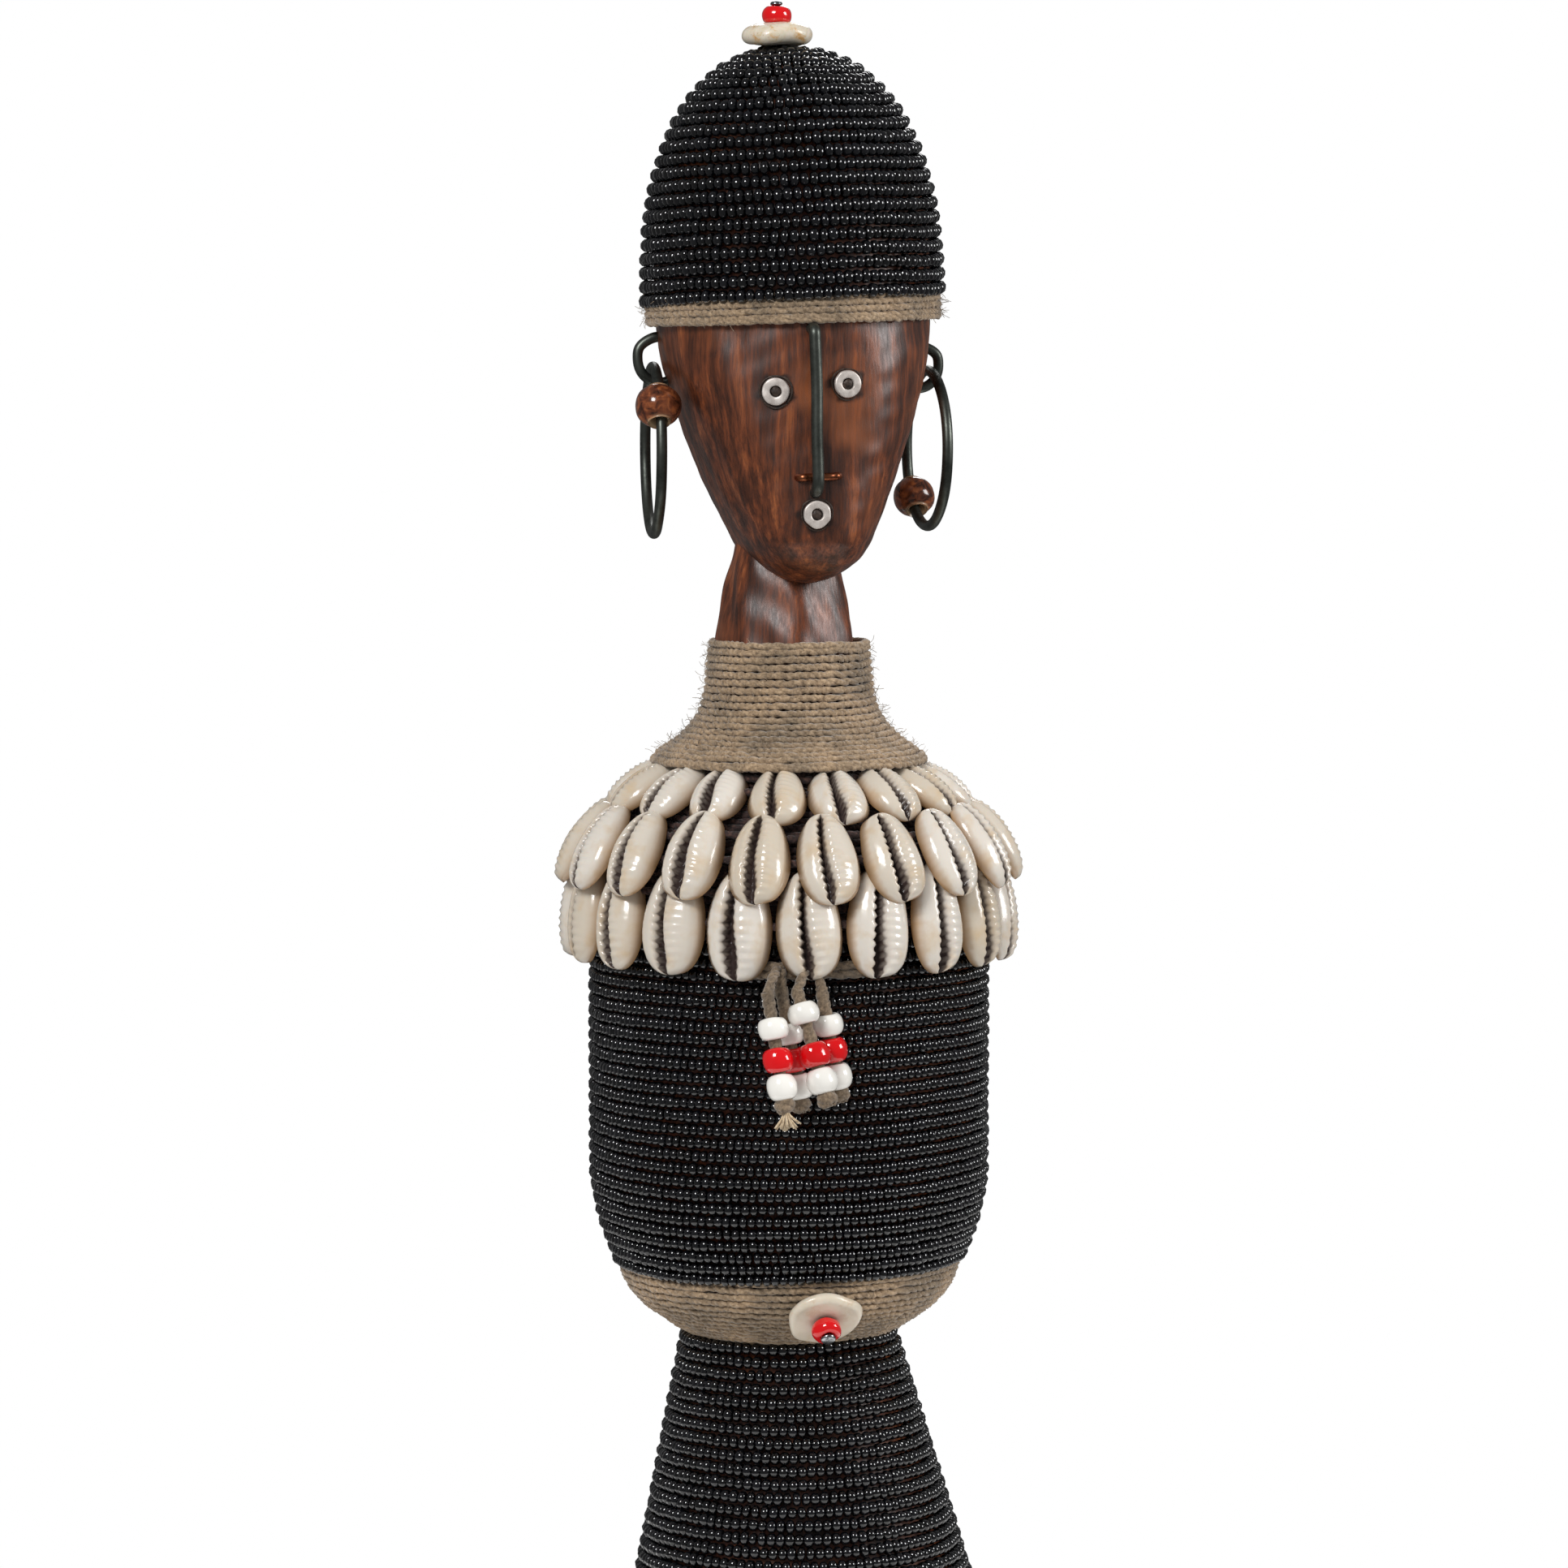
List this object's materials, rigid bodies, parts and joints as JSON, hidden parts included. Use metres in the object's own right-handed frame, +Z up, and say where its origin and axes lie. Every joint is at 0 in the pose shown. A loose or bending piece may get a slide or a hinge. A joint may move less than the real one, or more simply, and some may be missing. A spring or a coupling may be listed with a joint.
{
  "type": "beaded fertility doll",
  "caption": "Carved wooden doll with cone skirt and cap of black glass beads, cowrie shell collar, wire earrings, bead pendants and bone discs.",
  "frame": {"origin": "on the body's axis at the flat base face", "axes": "+Z up along the body, the face looks along -Y, +X is the viewer's right from the front"},
  "size_m": [0.0952, 0.1019, 0.3601],
  "materials": {
    "wood": "waxed carved wood, dark red-brown with orange streaks",
    "dark_wood": "dark turned pin",
    "varnished_bead": "varnished turned wood, pale chipped rim",
    "black_bead": "glossy black glass seed beads",
    "red_bead": "glossy opaque red glass",
    "white_bead": "glossy opaque white glass",
    "cowrie": "glossy cream shell with tan edges",
    "bone": "polished bone with tan veins",
    "twine": "fuzzy grey-tan cotton twine",
    "dark_cord": "dark brown cord and cloth",
    "iron": "dark drawn iron wire",
    "steel": "small steel nail",
    "aluminium": "pale matt aluminium",
    "copper": "dull copper wire"
  },
  "bodies": {
    "figure": {"carved_figure": "wood", "cap_beadwork": "black_bead", "brim_twine": "twine", "collar_twine": "twine", "cowrie_backing": "dark_cord", "cowrie_row_upper": "cowrie", "cowrie_row_middle": "cowrie", "cowrie_row_lower": "cowrie", "torso_beadwork": "black_bead", "waist_twine": "twine", "skirt_beadwork": "black_bead", "hem_twine": "twine", "nose_wire": "iron", "nostril_pin": "copper", "eye_ring_left": "aluminium", "eye_ring_right": "aluminium", "mouth_ring": "aluminium", "eye_pin_left": "dark_wood", "eye_pin_right": "dark_wood", "mouth_pin": "dark_wood", "ear_loop_left": "iron", "ear_loop_right": "iron", "finial_nail": "steel", "navel_nail": "steel", "pendant_anchor": "dark_cord"},
    "earring_left": {"earring_ring_left": "iron"},
    "earring_right": {"earring_ring_right": "iron"},
    "earring_bead_left": {"earring_bead_left": "varnished_bead"},
    "earring_bead_right": {"earring_bead_right": "varnished_bead"},
    "finial_disc": {"finial_disc": "bone"},
    "finial_bead": {"finial_bead": "red_bead"},
    "navel_disc": {"navel_disc": "bone"},
    "navel_bead": {"navel_bead": "red_bead"},
    "strings_back": {"pendant_cord_b": "twine", "pendant_cord_d": "twine"},
    "string_a": {"pendant_cord_a": "twine"},
    "string_c": {"pendant_cord_c": "twine"},
    "bead_a_upper": {"pendant_bead_a_upper": "white_bead"},
    "bead_a_middle": {"pendant_bead_a_middle": "red_bead"},
    "bead_a_lower": {"pendant_bead_a_lower": "white_bead"},
    "bead_b_upper": {"pendant_bead_b_upper": "white_bead"},
    "bead_b_middle": {"pendant_bead_b_middle": "red_bead"},
    "bead_b_lower": {"pendant_bead_b_lower": "white_bead"},
    "bead_c_upper": {"pendant_bead_c_upper": "white_bead"},
    "bead_c_middle": {"pendant_bead_c_middle": "red_bead"},
    "bead_c_lower": {"pendant_bead_c_lower": "white_bead"},
    "bead_d_upper": {"pendant_bead_d_upper": "white_bead"},
    "bead_d_middle": {"pendant_bead_d_middle": "red_bead"},
    "bead_d_lower": {"pendant_bead_d_lower": "white_bead"}
  },
  "joints": [
    {"name": "earring_left_swing", "type": "hinge", "parent": "figure", "child": "earring_left", "pos_m": [-0.02703, 0.005, 0.28343], "axis": [0.9976, -0.0698, 0], "range_deg": [-10, 45]},
    {"name": "earring_right_swing", "type": "hinge", "parent": "figure", "child": "earring_right", "pos_m": [0.02982, 0.005, 0.28243], "axis": [0.9986, 0.0523, 0], "range_deg": [-30, 45]},
    {"name": "earring_bead_left_travel", "type": "hinge", "parent": "earring_left", "child": "earring_bead_left", "pos_m": [-0.02703, 0.005, 0.26946], "axis": [0.9976, -0.0698, 0], "range_deg": [0, 195]},
    {"name": "earring_bead_right_travel", "type": "hinge", "parent": "earring_right", "child": "earring_bead_right", "pos_m": [0.02982, 0.005, 0.26962], "axis": [0.9986, 0.0523, 0], "range_deg": [-160, 40]},
    {"name": "finial_disc_spin", "type": "hinge", "parent": "figure", "child": "finial_disc", "pos_m": [-0.00243, 0, 0.35342], "axis": [-0.0244, 0, 0.9997], "continuous": true},
    {"name": "finial_bead_spin", "type": "hinge", "parent": "figure", "child": "finial_bead", "pos_m": [-0.00243, 0, 0.35342], "axis": [-0.0244, 0, 0.9997], "continuous": true},
    {"name": "navel_disc_spin", "type": "hinge", "parent": "figure", "child": "navel_disc", "pos_m": [0.00059, -0.0339, 0.0972], "axis": [0.0125, -0.7192, -0.6947], "continuous": true},
    {"name": "navel_bead_spin", "type": "hinge", "parent": "figure", "child": "navel_bead", "pos_m": [0.00059, -0.0339, 0.0972], "axis": [0.0125, -0.7192, -0.6947], "continuous": true},
    {"name": "strings_back_swing", "type": "hinge", "parent": "figure", "child": "strings_back", "pos_m": [-0.00568, -0.04313, 0.1648], "axis": [-0.9914, 0.1305, 0], "range_deg": [0, 25]},
    {"name": "string_a_swing", "type": "hinge", "parent": "strings_back", "child": "string_a", "pos_m": [-0.00568, -0.04313, 0.1648], "axis": [-0.9914, 0.1305, 0], "range_deg": [0, 20]},
    {"name": "string_c_swing", "type": "hinge", "parent": "strings_back", "child": "string_c", "pos_m": [-0.00568, -0.04313, 0.1648], "axis": [-0.9914, 0.1305, 0], "range_deg": [0, 20]},
    {"name": "bead_a_lower_slide", "type": "slide", "parent": "string_a", "child": "bead_a_lower", "axis": [-0.1149, 0.1962, 0.9738], "range_m": [0, 0.001]},
    {"name": "bead_a_middle_slide", "type": "slide", "parent": "bead_a_lower", "child": "bead_a_middle", "axis": [-0.1149, 0.1962, 0.9738], "range_m": [0, 0.001]},
    {"name": "bead_a_upper_slide", "type": "slide", "parent": "bead_a_middle", "child": "bead_a_upper", "axis": [-0.1149, 0.1962, 0.9738], "range_m": [-0.0014, 0.0012]},
    {"name": "bead_b_lower_slide", "type": "slide", "parent": "strings_back", "child": "bead_b_lower", "axis": [-0.1661, 0.0446, 0.9851], "range_m": [0, 0.0009]},
    {"name": "bead_b_middle_slide", "type": "slide", "parent": "bead_b_lower", "child": "bead_b_middle", "axis": [-0.1661, 0.0446, 0.9851], "range_m": [0, 0.0009]},
    {"name": "bead_b_upper_slide", "type": "slide", "parent": "bead_b_middle", "child": "bead_b_upper", "axis": [-0.1661, 0.0446, 0.9851], "range_m": [-0.0006, 0.001]},
    {"name": "bead_d_lower_slide", "type": "slide", "parent": "strings_back", "child": "bead_d_lower", "axis": [-0.1672, 0.0157, 0.9858], "range_m": [0, 0.001]},
    {"name": "bead_d_middle_slide", "type": "slide", "parent": "bead_d_lower", "child": "bead_d_middle", "axis": [-0.1672, 0.0157, 0.9858], "range_m": [0, 0.001]},
    {"name": "bead_d_upper_slide", "type": "slide", "parent": "bead_d_middle", "child": "bead_d_upper", "axis": [-0.1672, 0.0157, 0.9858], "range_m": [-0.00035, 0.0012]},
    {"name": "bead_c_lower_slide", "type": "slide", "parent": "string_c", "child": "bead_c_lower", "axis": [-0.2254, 0.2232, 0.9484], "range_m": [0, 0.0008]},
    {"name": "bead_c_middle_slide", "type": "slide", "parent": "bead_c_lower", "child": "bead_c_middle", "axis": [-0.2254, 0.2232, 0.9484], "range_m": [0, 0.0008]},
    {"name": "bead_c_upper_slide", "type": "slide", "parent": "string_c", "child": "bead_c_upper", "axis": [-0.2254, 0.2232, 0.9484], "range_m": [-0.0014, 0.0004]}
  ]
}
